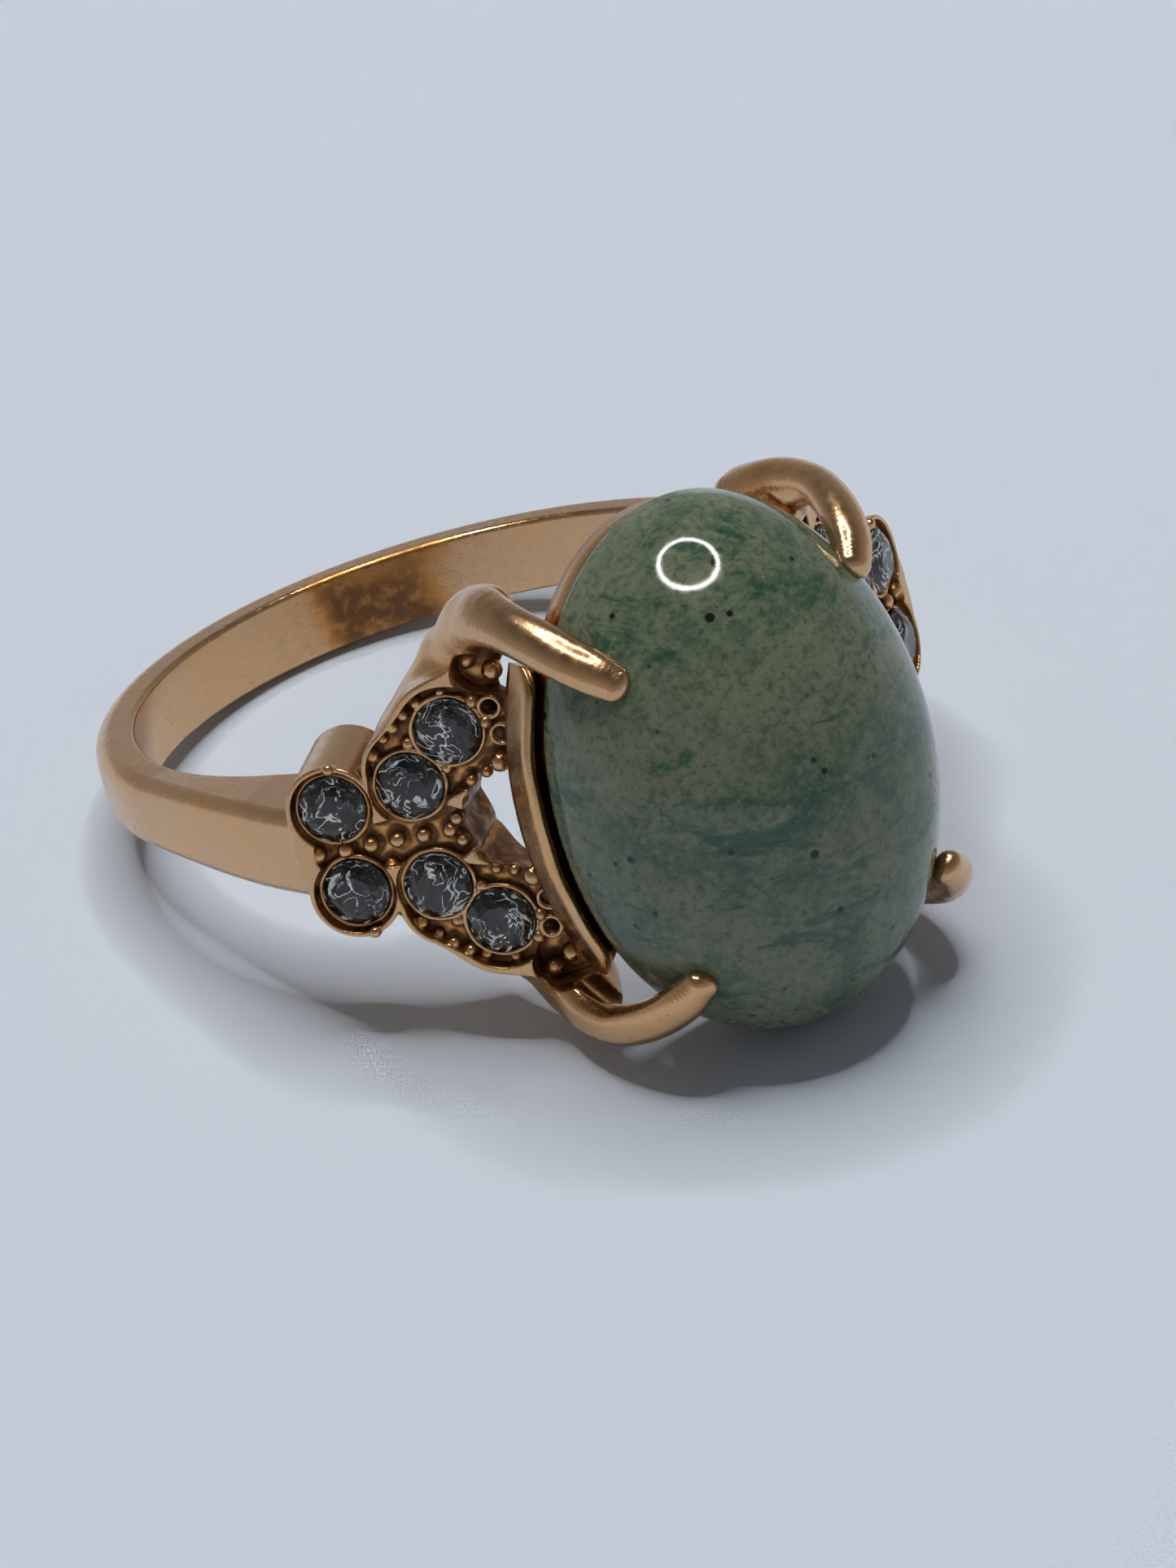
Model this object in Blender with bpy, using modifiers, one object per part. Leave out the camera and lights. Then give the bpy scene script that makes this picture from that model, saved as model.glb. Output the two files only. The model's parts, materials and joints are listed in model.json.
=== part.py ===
"""Cocktail ring: an oval cabochon in four claws, an open oval gallery under it, a narrow band,
and two split shoulders that each carry six round crystals.

Every piece is modelled in the ring's own axes and parented to the empty ring_pose:
X across the finger, Y along the finger, Z from the finger's centre towards the stone.
ring_pose lays the ring on its side, resting on the back of the band and on the stone's end.
"""

import math

import bmesh
import bpy
from mathutils import Matrix, Vector

MM = 0.001

# Clearances
PIECE_GAP = 0.1 * MM  # between two metal pieces
STONE_GAP = 0.05 * MM  # between a stone and the metal that holds it

# Band
BORE_RADIUS = 8.65 * MM
BAND_THICKNESS = 1.15 * MM
BAND_WIDTH = 2.0 * MM  # round the back of the finger
BAND_WIDTH_AT_SHOULDER = 2.3 * MM
BAND_EDGE_ROUNDING = 0.3 * MM

# Oval stone
STONE_WIDTH = 10.0 * MM
STONE_LENGTH = 14.0 * MM
STONE_DOME = 4.95 * MM
STONE_EDGE = 0.7 * MM  # height of the straight edge under the dome
STONE_UNDERCUT = 0.35 * MM  # how far the flat back stops short of the edge
STONE_RISE = 4.25 * MM  # flat back of the stone above the bore

# Gallery: an oval ledge under the stone, with a low wall beside the stone at left and right
GALLERY_WALL = 0.3 * MM
GALLERY_HEIGHT = 1.1 * MM
GALLERY_LIP = 0.1 * MM  # how far the walls' top edge stands above the stone's flat back
WALL_END = 4.2 * MM  # how far the walls run along the finger, from the middle of the stone
LEDGE_INSET = 0.4 * MM  # the ledge's outside, in from the stone's edge
LEDGE_WIDTH = 0.7 * MM

# Claws: (outside the stone's edge, above the stone's back, wire radius), from foot to shoulder
CLAW_STONE_ANGLE = math.radians(40.0)  # ellipse parameter of the stone's edge at each claw
CLAW_STEM = (
    (0.55 * MM, -2.5 * MM, 0.85 * MM),
    (1.10 * MM, -1.2 * MM, 0.62 * MM),
    (1.17 * MM, 0.1 * MM, 0.50 * MM),
    (0.80 * MM, 1.3 * MM, 0.50 * MM),
)
# (angle up the dome, wire radius) where the claw bends over the stone and ends
CLAW_HOOK = (
    (math.radians(17.0), 0.45 * MM),
    (math.radians(26.0), 0.36 * MM),
    (math.radians(29.0), 0.20 * MM),
)

# Shoulders: a flat face on each side of the bore carries the crystals
FACE_TILT = math.radians(41.0)  # between the face's normal and Z
FACE_RISE = 3.0 * MM  # face above the bore
FACE_START = -2.1 * MM  # where the face begins, along it from the point nearest the bore
BAND_JOINT = math.radians(62.0)  # angle from Z where the band is joined to the shoulder
SWELL_START = math.radians(90.0)  # angle from Z where the band begins to thicken and widen

# Crystals, set in the face in two rows that part at the split
CRYSTAL_DIAMETER = 1.7 * MM
CRYSTAL_TABLE = 1.0 * MM
CRYSTAL_CROWN = 0.28 * MM
CRYSTAL_GIRDLE = 0.08 * MM
CRYSTAL_DEPTH = 0.65 * MM
CRYSTAL_SINK = 0.15 * MM  # girdle below the face
CRYSTAL_FACETS = 12
ROW_GAP = 0.56 * MM  # metal between the two outer crystals
OUTER_GAP = 0.39 * MM  # metal between outer and middle crystal
INNER_GAP = 0.1 * MM  # metal between middle and inner crystal
OUTER_SPREAD = math.radians(6.0)  # how far each row turns away from the face's middle line
INNER_SPREAD = math.radians(43.0)
RIM_ROUND_OUTER = 0.25 * MM  # metal round the outer crystals
RIM_ROUND_INNER = 0.6 * MM  # metal round the inner crystals
SPLIT_RIM = 0.2 * MM  # metal between the middle crystals and the point of the split
SPLIT_LENGTH = 1.4 * MM  # over which the split opens to its full width
SPLIT_SIDE = 0.42 * MM  # metal between the inner crystals and the split

OVAL_STEPS = 56
STONE_STEPS = 10
FAR = 30.0 * MM  # beyond every piece, for cutting shapes

stone_back = BORE_RADIUS + STONE_RISE
stone_edge_top = stone_back + STONE_EDGE
gallery_top = stone_back + GALLERY_LIP
gallery_bottom = gallery_top - GALLERY_HEIGHT
band_outer = BORE_RADIUS + BAND_THICKNESS
face_height = BORE_RADIUS + FACE_RISE
face_corner_radius = math.hypot(face_height, FACE_START)
face_corner_angle = FACE_TILT - math.atan2(FACE_START, face_height)
# The shoulder's face runs on until it meets the underside of the gallery.
face_end = (gallery_bottom - PIECE_GAP - face_height * math.cos(FACE_TILT)) / math.sin(FACE_TILT)


# ---------------------------------------------------------------- scene and helpers


def clear_scene():
    for obj in list(bpy.data.objects):
        bpy.data.objects.remove(obj)


def new_collection(name):
    collection = bpy.data.collections.new(name)
    bpy.context.scene.collection.children.link(collection)
    return collection


def new_material(name, colour, roughness, metallic=0.0, transmission=0.0, ior=1.5):
    material = bpy.data.materials.new(name)
    material.use_nodes = True
    shader = material.node_tree.nodes["Principled BSDF"]
    shader.inputs["Base Color"].default_value = (*colour, 1.0)
    shader.inputs["Roughness"].default_value = roughness
    shader.inputs["Metallic"].default_value = metallic
    shader.inputs["Transmission Weight"].default_value = transmission
    shader.inputs["IOR"].default_value = ior
    return material


def add_object(name, data, collection, matrix=None):
    """Links a new object and hangs it on ring_pose. matrix is in the ring's axes."""
    obj = bpy.data.objects.new(name, data)
    collection.objects.link(obj)
    obj.parent = ring_pose
    obj.matrix_local = matrix or Matrix.Identity(4)
    return obj


def add_cutter(name, data, matrix=None):
    obj = add_object(name, data, cutters, matrix)
    obj.hide_render = True
    obj.display_type = "WIRE"
    return obj


def round_shaded(obj, material, sharp_above=35.0):
    obj.data.materials.clear()
    obj.data.materials.append(material)
    obj.data.shade_smooth()
    obj.data.set_sharp_from_angle(angle=math.radians(sharp_above))
    return obj


def evaluated_mesh(obj, name):
    """The object's shape with its modifiers or bevel applied, as a new welded mesh."""
    bpy.context.view_layer.update()
    evaluated = obj.evaluated_get(bpy.context.evaluated_depsgraph_get())
    mesh = bpy.data.meshes.new_from_object(evaluated)
    mesh.name = name
    shape = bmesh_from(mesh)
    bmesh.ops.remove_doubles(shape, verts=shape.verts, dist=0.0001 * MM)
    shape.to_mesh(mesh)
    shape.free()
    return mesh


def bmesh_from(mesh):
    shape = bmesh.new()
    shape.from_mesh(mesh)
    return shape


def flat_outline(name, points, half_depth):
    """A closed 2D outline in its own XY plane, extruded half_depth each way, as a mesh."""
    curve = bpy.data.curves.new(name, "CURVE")
    curve.dimensions = "2D"
    curve.fill_mode = "BOTH"
    curve.extrude = half_depth
    spline = curve.splines.new("POLY")
    spline.points.add(len(points) - 1)
    for point, (x, y) in zip(spline.points, points):
        point.co = (x, y, 0.0, 1.0)
    spline.use_cyclic_u = True
    guide = bpy.data.objects.new(name, curve)
    bpy.context.scene.collection.objects.link(guide)
    mesh = evaluated_mesh(guide, name)
    bpy.data.objects.remove(guide)
    return mesh


def turned(name, profile, steps):
    """A mesh turned about Z from (radius, height) points that run down the outer side."""
    mesh = bpy.data.meshes.new(name)
    points = [(radius, 0.0, height) for radius, height in profile]
    edges = [(i, i + 1) for i in range(len(points) - 1)]
    mesh.from_pydata(points, edges, [])
    guide = bpy.data.objects.new(name, mesh)
    bpy.context.scene.collection.objects.link(guide)
    screw = guide.modifiers.new("turn", "SCREW")
    screw.axis = "Z"
    screw.steps = steps
    screw.render_steps = steps
    screw.use_merge_vertices = True
    screw.merge_threshold = 0.001 * MM
    solid = evaluated_mesh(guide, name)
    bpy.data.objects.remove(guide)
    return solid


def loft(name, sections):
    """A closed solid through sections that all have the same number of points."""
    shape = bmesh.new()
    rings = [[shape.verts.new(point) for point in section] for section in sections]
    for ring, following in zip(rings, rings[1:]):
        for i in range(len(ring)):
            j = (i + 1) % len(ring)
            shape.faces.new((ring[i], ring[j], following[j], following[i]))
    shape.faces.new(reversed(rings[0]))
    shape.faces.new(rings[-1])
    bmesh.ops.recalc_face_normals(shape, faces=shape.faces)
    mesh = bpy.data.meshes.new(name)
    shape.to_mesh(mesh)
    shape.free()
    return mesh


def cut(obj, cutter, operation="DIFFERENCE"):
    boolean = obj.modifiers.new(cutter.name, "BOOLEAN")
    boolean.operation = operation
    boolean.solver = "EXACT"
    boolean.object = cutter
    return boolean


def evenly(first, last, steps):
    return [first + (last - first) * i / steps for i in range(steps + 1)]


def oval(half_x, half_y, end=FAR):
    """Points round an oval, which is cut straight across at y = end and y = -end."""
    limit = math.asin(min(1.0, end / half_y))
    right = evenly(-limit, limit, OVAL_STEPS // 2)
    left = evenly(math.pi - limit, math.pi + limit, OVAL_STEPS // 2)
    if end >= half_y:
        right.pop()
        left.pop()
    return [(half_x * math.cos(turn), half_y * math.sin(turn)) for turn in right + left]


def arc(centre, radius, first, last, steps):
    """Points round a centre, between two angles in degrees."""
    turns = [math.radians(degrees) for degrees in evenly(first, last, steps)]
    return [(centre[0] + radius * math.cos(t), centre[1] + radius * math.sin(t)) for t in turns]


def smooth_path(points, steps):
    """Catmull-Rom curve through the points, which are vectors of any size."""
    ends = [2.0 * points[0] - points[1], *points, 2.0 * points[-1] - points[-2]]
    path = []
    for a, b, c, d in zip(ends, ends[1:], ends[2:], ends[3:]):
        for step in range(steps):
            t = step / steps
            bend = (2.0 * a - 5.0 * b + 4.0 * c - d) * t * t
            twist = (3.0 * b - a - 3.0 * c + d) * t * t * t
            path.append(0.5 * (2.0 * b + (c - a) * t + bend + twist))
    path.append(points[-1])
    return path


# ---------------------------------------------------------------- band


def outer_radius(angle):
    """Outside of the band and shoulder at an angle from Z, up to the corner of the face."""
    if angle >= SWELL_START:
        return band_outer
    share = (SWELL_START - angle) / (SWELL_START - face_corner_angle)
    return band_outer + (face_corner_radius - band_outer) * share**2


def band_half_width(angle):
    share = max(0.0, (SWELL_START - angle) / (SWELL_START - BAND_JOINT))
    return (BAND_WIDTH + (BAND_WIDTH_AT_SHOULDER - BAND_WIDTH) * share) / 2.0


def band_section(turn):
    """The band's outline at a turn from Z, which may pass pi on the far side."""
    angle = turn if turn <= math.pi else 2.0 * math.pi - turn
    half = band_half_width(angle)
    outer = outer_radius(angle)
    corner = (outer - BAND_EDGE_ROUNDING, half - BAND_EDGE_ROUNDING)
    upper = [(BORE_RADIUS, half), *arc(corner, BAND_EDGE_ROUNDING, 90.0, 0.0, 2)]
    outline = upper + [(r, -y) for r, y in reversed(upper)]
    return [Vector((r * math.sin(turn), y, r * math.cos(turn))) for r, y in outline]


def make_band():
    swell = evenly(BAND_JOINT + PIECE_GAP / BORE_RADIUS, SWELL_START, 5)
    back = evenly(SWELL_START, 2.0 * math.pi - SWELL_START, 24)
    swell_back = [2.0 * math.pi - turn for turn in reversed(swell)]
    turns = swell[:-1] + back + swell_back[1:]
    band = add_object("band", loft("band", [band_section(turn) for turn in turns]), ring)
    return round_shaded(band, rose_gold)


# ---------------------------------------------------------------- oval stone and gallery


def make_stone():
    half = STONE_LENGTH / 2.0
    rises = evenly(math.pi / 2.0, 0.0, STONE_STEPS)[1:]
    profile = [(0.0, stone_edge_top + STONE_DOME)]
    profile += [(half * math.cos(rise), stone_edge_top + STONE_DOME * math.sin(rise)) for rise in rises]
    profile.append((half, stone_back + STONE_UNDERCUT))
    profile.append((half - STONE_UNDERCUT, stone_back))
    profile.append((0.0, stone_back))
    squash = Matrix.Scale(STONE_WIDTH / STONE_LENGTH, 4, (1.0, 0.0, 0.0))
    mesh = turned("cabochon", profile, OVAL_STEPS)
    mesh.transform(squash)
    return round_shaded(add_object("cabochon", mesh, ring), aventurine)


def gallery_plate(name, growth, low, high, end=FAR):
    """A plate between two heights that follows the stone's edge at a distance, as far as y = end."""
    outline = oval(STONE_WIDTH / 2.0 + growth, STONE_LENGTH / 2.0 + growth, end)
    mesh = flat_outline(name, outline, (high - low) / 2.0)
    mesh.transform(Matrix.Translation((0.0, 0.0, (high + low) / 2.0)))
    return mesh


def make_gallery():
    """An oval ledge for the stone, open at the back, with a wall at each side of the stone."""
    ledge = gallery_plate("gallery", -LEDGE_INSET, gallery_bottom, stone_back)
    gallery = add_object("gallery", ledge, ring)
    walls = gallery_plate("side_walls", STONE_GAP + GALLERY_WALL, gallery_bottom, gallery_top, WALL_END)
    pocket = gallery_plate("stone_pocket", STONE_GAP, stone_back - STONE_GAP, FAR)
    opening = gallery_plate("gallery_opening", -LEDGE_INSET - LEDGE_WIDTH, -FAR, FAR)
    cut(gallery, add_cutter("side_walls", walls), "UNION")
    cut(gallery, add_cutter("stone_pocket", pocket))
    cut(gallery, add_cutter("gallery_opening", opening))
    return round_shaded(gallery, rose_gold)


# ---------------------------------------------------------------- claws


def claw_place():
    """Azimuth of the first claw, and how far the stone's edge is from the Z axis there."""
    across = STONE_WIDTH / 2.0 * math.cos(CLAW_STONE_ANGLE)
    along = STONE_LENGTH / 2.0 * math.sin(CLAW_STONE_ANGLE)
    return math.atan2(along, across), math.hypot(across, along)


def claw_points():
    """(distance from the ring's Z axis, wire radius, height) along one claw."""
    edge = claw_place()[1]
    points = [Vector((edge + out, radius, stone_back + up)) for out, up, radius in CLAW_STEM]
    for rise, radius in CLAW_HOOK:
        normal = Vector((math.cos(rise) / edge, 0.0, math.sin(rise) / STONE_DOME)).normalized()
        on_dome = Vector((edge * math.cos(rise), 0.0, stone_edge_top + STONE_DOME * math.sin(rise)))
        point = on_dome + normal * (CLAW_HOOK[0][1] + STONE_GAP)
        point.y = radius
        points.append(point)
    return points


def claw_mesh(growth=0.0):
    """One claw in the XZ plane: a wire that thins towards its tip, or the room for it."""
    path = smooth_path(claw_points(), 3)
    path[0] += (path[0] - path[1]).normalized() * growth
    curve = bpy.data.curves.new("claw", "CURVE")
    curve.dimensions = "3D"
    curve.bevel_depth = 1.0 * MM
    curve.bevel_resolution = 2
    curve.use_fill_caps = True
    spline = curve.splines.new("POLY")
    spline.points.add(len(path) - 1)
    for point, place in zip(spline.points, path):
        point.co = (place.x, 0.0, place.z, 1.0)
        point.radius = (place.y + growth) / curve.bevel_depth
    guide = bpy.data.objects.new("claw", curve)
    bpy.context.scene.collection.objects.link(guide)
    mesh = evaluated_mesh(guide, "claw")
    bpy.data.objects.remove(guide)
    return mesh


def make_claws():
    azimuth = claw_place()[0]
    mesh = claw_mesh()
    turns = {
        "claw_right_upper": azimuth,
        "claw_left_upper": math.pi - azimuth,
        "claw_left_lower": math.pi + azimuth,
        "claw_right_lower": -azimuth,
    }
    for name, turn in turns.items():
        claw = add_object(name, mesh, ring, Matrix.Rotation(turn, 4, "Z"))
        round_shaded(claw, rose_gold)


# ---------------------------------------------------------------- shoulders and crystals


def face_matrix():
    """The right shoulder's face: X along it towards the stone, Z outwards, origin on the bore's axis."""
    along = Vector((-math.cos(FACE_TILT), 0.0, math.sin(FACE_TILT)))
    outwards = Vector((math.sin(FACE_TILT), 0.0, math.cos(FACE_TILT)))
    across = outwards.cross(along)
    return Matrix((along, across, outwards)).transposed().to_4x4()


def side_profile():
    """The shoulder seen along the finger: (x, z) from the bore out to the face.

    The face stops under the gallery, and the arm goes on below it as far as the claw's foot.
    """
    face_end_x = face_height * math.sin(FACE_TILT) - face_end * math.cos(FACE_TILT)
    top = gallery_bottom - PIECE_GAP
    azimuth, edge = claw_place()
    foot_out, _, foot_radius = CLAW_STEM[0]
    foot_x = (edge + foot_out) * math.cos(azimuth) - foot_radius / 2.0
    end_x = min(foot_x, face_end_x - PIECE_GAP)
    bore_end = math.asin(end_x / BORE_RADIUS)
    inside = [(BORE_RADIUS, turn) for turn in evenly(BAND_JOINT, bore_end, 8)]
    outside = [(outer_radius(turn), turn) for turn in evenly(face_corner_angle, BAND_JOINT, 4)]
    inside = [(radius * math.sin(turn), radius * math.cos(turn)) for radius, turn in inside]
    outside = [(radius * math.sin(turn), radius * math.cos(turn)) for radius, turn in outside]
    return [*inside, (end_x, top), (face_end_x, top), *outside]


def crystal_places():
    """Crystals of the upper row, on the face: (along it towards the stone, along the finger)."""
    radius = CRYSTAL_DIAMETER / 2.0
    outer = Vector((FACE_START + RIM_ROUND_OUTER + radius, ROW_GAP / 2.0 + radius))
    turn = Vector((math.cos(OUTER_SPREAD), math.sin(OUTER_SPREAD)))
    middle = outer + turn * (CRYSTAL_DIAMETER + OUTER_GAP)
    turn = Vector((math.cos(INNER_SPREAD), math.sin(INNER_SPREAD)))
    inner = middle + turn * (CRYSTAL_DIAMETER + INNER_GAP)
    return {"outer": outer, "middle": middle, "inner": inner}


def plan_outline():
    """The shoulder seen square to its face: (along the face, along the finger)."""
    half = BAND_WIDTH_AT_SHOULDER / 2.0
    radius = CRYSTAL_DIAMETER / 2.0
    places = crystal_places()
    inner = places["inner"]
    split = places["middle"].x + radius + SPLIT_RIM
    split_side = inner.y - radius - SPLIT_SIDE
    azimuth, edge = claw_place()
    # The arm runs past the near side of the claw's foot, which is then let into it.
    arm_side = (edge + CLAW_STEM[0][0]) * math.sin(azimuth) - CLAW_STEM[0][2] / 2.0
    upper = [(-FAR, half), (FACE_START - radius, half)]
    upper += arc(places["outer"], radius + RIM_ROUND_OUTER, 180.0, 50.0, 7)
    upper += arc(inner, radius + RIM_ROUND_INNER, 165.0, 75.0, 5)
    upper.append((inner.x + 2.0 * radius, arm_side))
    upper += [(FAR, arm_side), (FAR, split_side), (split + SPLIT_LENGTH, split_side)]
    lower = [(along, -across) for along, across in reversed(upper)]
    return [*upper, (split, 0.0), *lower]


def crystal_profile():
    """Table, crown, girdle and point, with the girdle at height 0."""
    radius = CRYSTAL_DIAMETER / 2.0
    return [
        (0.0, CRYSTAL_CROWN),
        (CRYSTAL_TABLE / 2.0, CRYSTAL_CROWN),
        (radius, CRYSTAL_GIRDLE / 2.0),
        (radius, -CRYSTAL_GIRDLE / 2.0),
        (0.0, -CRYSTAL_DEPTH),
    ]


def seat_profile():
    """The hole for one crystal: straight down to the girdle, then a cone."""
    radius = CRYSTAL_DIAMETER / 2.0 + STONE_GAP
    mouth = CRYSTAL_DIAMETER
    return [(0.0, mouth), (radius, mouth), (radius, -CRYSTAL_GIRDLE / 2.0), (0.0, -CRYSTAL_DEPTH - STONE_GAP)]


def crystal_matrices(face):
    """Name to matrix for the six crystals of the shoulder whose face this is."""
    places = {}
    for row, (along, across) in crystal_places().items():
        for level, side in (("upper", 1.0), ("lower", -1.0)):
            # On the right face +Y of the face runs down the finger, so the sign turns with the face.
            offset = Vector((along, across * side * face.col[1][1], face_height - CRYSTAL_SINK))
            places[f"{row}_{level}"] = face @ Matrix.Translation(offset)
    return places


def shoulder_mesh():
    """One shoulder, with its outline, its split and its crystal seats, on the ring's right side."""
    to_ring = Matrix.Rotation(math.pi / 2.0, 4, "X")
    blank_mesh = flat_outline("shoulder_blank", side_profile(), STONE_LENGTH / 2.0)
    blank_mesh.transform(to_ring)
    blank = add_object("shoulder_blank", blank_mesh, cutters)
    plan = add_cutter("shoulder_plan", flat_outline("shoulder_plan", plan_outline(), FAR), face_matrix())
    cut(blank, plan, "INTERSECT")
    azimuth = claw_place()[0]
    room = claw_mesh(PIECE_GAP)
    for name, turn in (("upper", azimuth), ("lower", -azimuth)):
        cut(blank, add_cutter(f"claw_room_{name}", room, Matrix.Rotation(turn, 4, "Z")))
    seat = turned("crystal_seat", seat_profile(), CRYSTAL_FACETS)
    for name, matrix in crystal_matrices(face_matrix()).items():
        cut(blank, add_cutter(f"seat_{name}", seat, matrix))
    mesh = evaluated_mesh(blank, "shoulder")
    bpy.data.objects.remove(blank)
    return mesh


def make_shoulders():
    mesh = shoulder_mesh()
    for side, turn in (("right", 0.0), ("left", math.pi)):
        shoulder = add_object(f"{side}_shoulder", mesh, ring, Matrix.Rotation(turn, 4, "Z"))
        round_shaded(shoulder, rose_gold, 30.0)


def make_crystals():
    mesh = turned("crystal", crystal_profile(), CRYSTAL_FACETS)
    for side, turn in (("right", 0.0), ("left", math.pi)):
        face = Matrix.Rotation(turn, 4, "Z") @ face_matrix()
        for name, matrix in crystal_matrices(face).items():
            crystal = add_object(f"crystal_{side}_{name}", mesh, ring, matrix)
            crystal.data.materials.clear()
            crystal.data.materials.append(clear_crystal)


# ---------------------------------------------------------------- pose


def lay_on_side():
    """Tilts ring_pose so the ring rests on band and stone, centred over the origin."""
    rest_length = stone_back + STONE_UNDERCUT + band_outer - BAND_EDGE_ROUNDING
    tilt = math.atan2(STONE_LENGTH / 2.0 - BAND_WIDTH / 2.0, rest_length)
    ring_pose.rotation_euler = (math.pi / 2.0 - tilt, 0.0, 0.0)
    bpy.context.view_layer.update()
    graph = bpy.context.evaluated_depsgraph_get()
    corners = []
    for obj in ring.objects:
        evaluated = obj.evaluated_get(graph)
        corners += [obj.matrix_world @ vertex.co for vertex in evaluated.data.vertices]
    low = [min(corner[axis] for corner in corners) for axis in range(3)]
    high = [max(corner[axis] for corner in corners) for axis in range(3)]
    ring_pose.location = (-(low[0] + high[0]) / 2.0, -(low[1] + high[1]) / 2.0, -low[2])
    bpy.context.view_layer.update()


clear_scene()
ring = new_collection("cocktail_ring")
cutters = new_collection("cutters")
cutters.hide_render = True
ring_pose = bpy.data.objects.new("ring_pose", None)
bpy.context.scene.collection.objects.link(ring_pose)

rose_gold = new_material("rose_gold", (0.83, 0.58, 0.44), 0.16, metallic=1.0)
aventurine = new_material("aventurine", (0.13, 0.21, 0.16), 0.08)
clear_crystal = new_material("crystal", (0.55, 0.57, 0.6), 0.02, transmission=0.9, ior=1.7)

make_band()
make_stone()
make_gallery()
make_claws()
make_shoulders()
make_crystals()
lay_on_side()
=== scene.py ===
"""The cocktail ring's looks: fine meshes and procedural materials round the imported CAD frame.

Shapes are made in the ring's own axes, in millimetres: X across the finger, Y along it and Z from
the finger's centre towards the stone. The cast metal is one distance field, negative inside. Each
metal piece meshes its own part of that field and is trimmed by planes, so neighbours meet smoothly.
"""

import json
import math

import bmesh
import bpy
import numpy as np
import openvdb
from mathutils import Matrix, Vector


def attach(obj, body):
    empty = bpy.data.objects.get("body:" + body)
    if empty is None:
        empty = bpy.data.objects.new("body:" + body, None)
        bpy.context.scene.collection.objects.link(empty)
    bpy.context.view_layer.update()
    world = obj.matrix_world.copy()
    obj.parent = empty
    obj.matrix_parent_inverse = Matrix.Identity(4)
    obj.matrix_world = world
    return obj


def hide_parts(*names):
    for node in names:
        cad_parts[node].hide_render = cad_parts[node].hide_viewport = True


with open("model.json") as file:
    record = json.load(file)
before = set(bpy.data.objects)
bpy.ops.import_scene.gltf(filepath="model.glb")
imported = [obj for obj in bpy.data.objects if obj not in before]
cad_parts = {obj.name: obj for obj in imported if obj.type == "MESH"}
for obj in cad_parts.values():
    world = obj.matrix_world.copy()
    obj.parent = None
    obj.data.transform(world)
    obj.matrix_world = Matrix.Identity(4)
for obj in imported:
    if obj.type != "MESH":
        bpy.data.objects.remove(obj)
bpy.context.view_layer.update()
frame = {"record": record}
BODY = "root"

MM = 0.001

# ---- Driving dimensions, in millimetres and degrees, the same as the CAD's
BORE_RADIUS = 8.65
BAND_THICKNESS = 1.15
BAND_WIDTH = 2.0
BAND_WIDTH_AT_SHOULDER = 2.3
STONE_WIDTH = 10.0
STONE_LENGTH = 14.0
STONE_DOME = 4.95
STONE_EDGE = 0.7
STONE_UNDERCUT = 0.35
STONE_RISE = 4.25
STONE_GAP = 0.05
GALLERY_WALL = 0.3
GALLERY_HEIGHT = 1.1
GALLERY_LIP = 0.1
WALL_END = 4.2  # the gallery's side walls end this far along the finger
WALL_FALL = 0.9  # and slope down over this length before that
WALL_FOOT = 0.35  # height of the walls at their ends
LEDGE_INSET = 0.4
LEDGE_WIDTH = 0.7
EDGE_SOFT = 0.06  # rounding of the gallery's edges
CLAW_STONE_ANGLE = 40.0
FACE_TILT = 41.0
FACE_RISE = 3.0
FACE_START = -2.1
BAND_JOINT = 62.0
SWELL_START = 90.0
CRYSTAL_DIAMETER = 1.7
CRYSTAL_TABLE = 1.0
CRYSTAL_CROWN = 0.28
CRYSTAL_GIRDLE = 0.08
CRYSTAL_DEPTH = 0.65
CRYSTAL_SINK = 0.15

# ---- Finer dimensions that only the looks have
BAND_OUTER_ROUNDING = 0.42
BAND_INNER_ROUNDING = 0.14
BAND_CROWN = 0.10  # how much the outside is domed across its width
CRYSTAL_LEAN = 0.035  # how unevenly the crystals sit, as a slope
RIM = 0.13  # width of the thin wall round the pavement of crystals
TRAY_DEPTH = 0.42
RING_TUBE = 0.07  # half the thickness of the raised rings round the crystals and the holes
HOLE_RADIUS = 0.20
HOLE_DEPTH = 1.1
POCKET_DEPTH = 0.95
PAVED_DEPTH = 1.2  # nothing is cut into the face below this depth
METAL_GAP = 0.06  # between the shoulders and the gallery over them
MOAT_WIDTH = 0.55  # clear space between the gallery's walls and the claws
MOAT_INSET = 0.35  # from the stone's edge to the clear space
MOAT_START = 3.2  # that space begins this far along the finger from the middle
MOAT_BOTTOM = 11.2
MOAT_TOP = 12.7
CLAW_FLATTEN = 0.80  # claw thickness over claw width
PAVE_CUT = 11.02  # the pavement piece begins at this height over the bore's axis
CLAW_CUT = 11.85  # the claws begin at this height
SHOULDER_END = 4.1  # the shoulders stop this far across the finger from the middle
STUB_END = -1.5  # the band's end reaches this place along the face
FAR = 9.0  # the distance given to points that a shape isn't measured at
FINE_VOXEL, CAST_VOXEL = ((0.045, 0.065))
BLOCK = 4  # voxels along each side of the blocks that are read first
LEAST_SLOPE = 0.2  # a field's slope, squared, counts as at least this when points are settled
MOST_SETTLING = 0.03  # points are settled no farther than this

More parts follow.
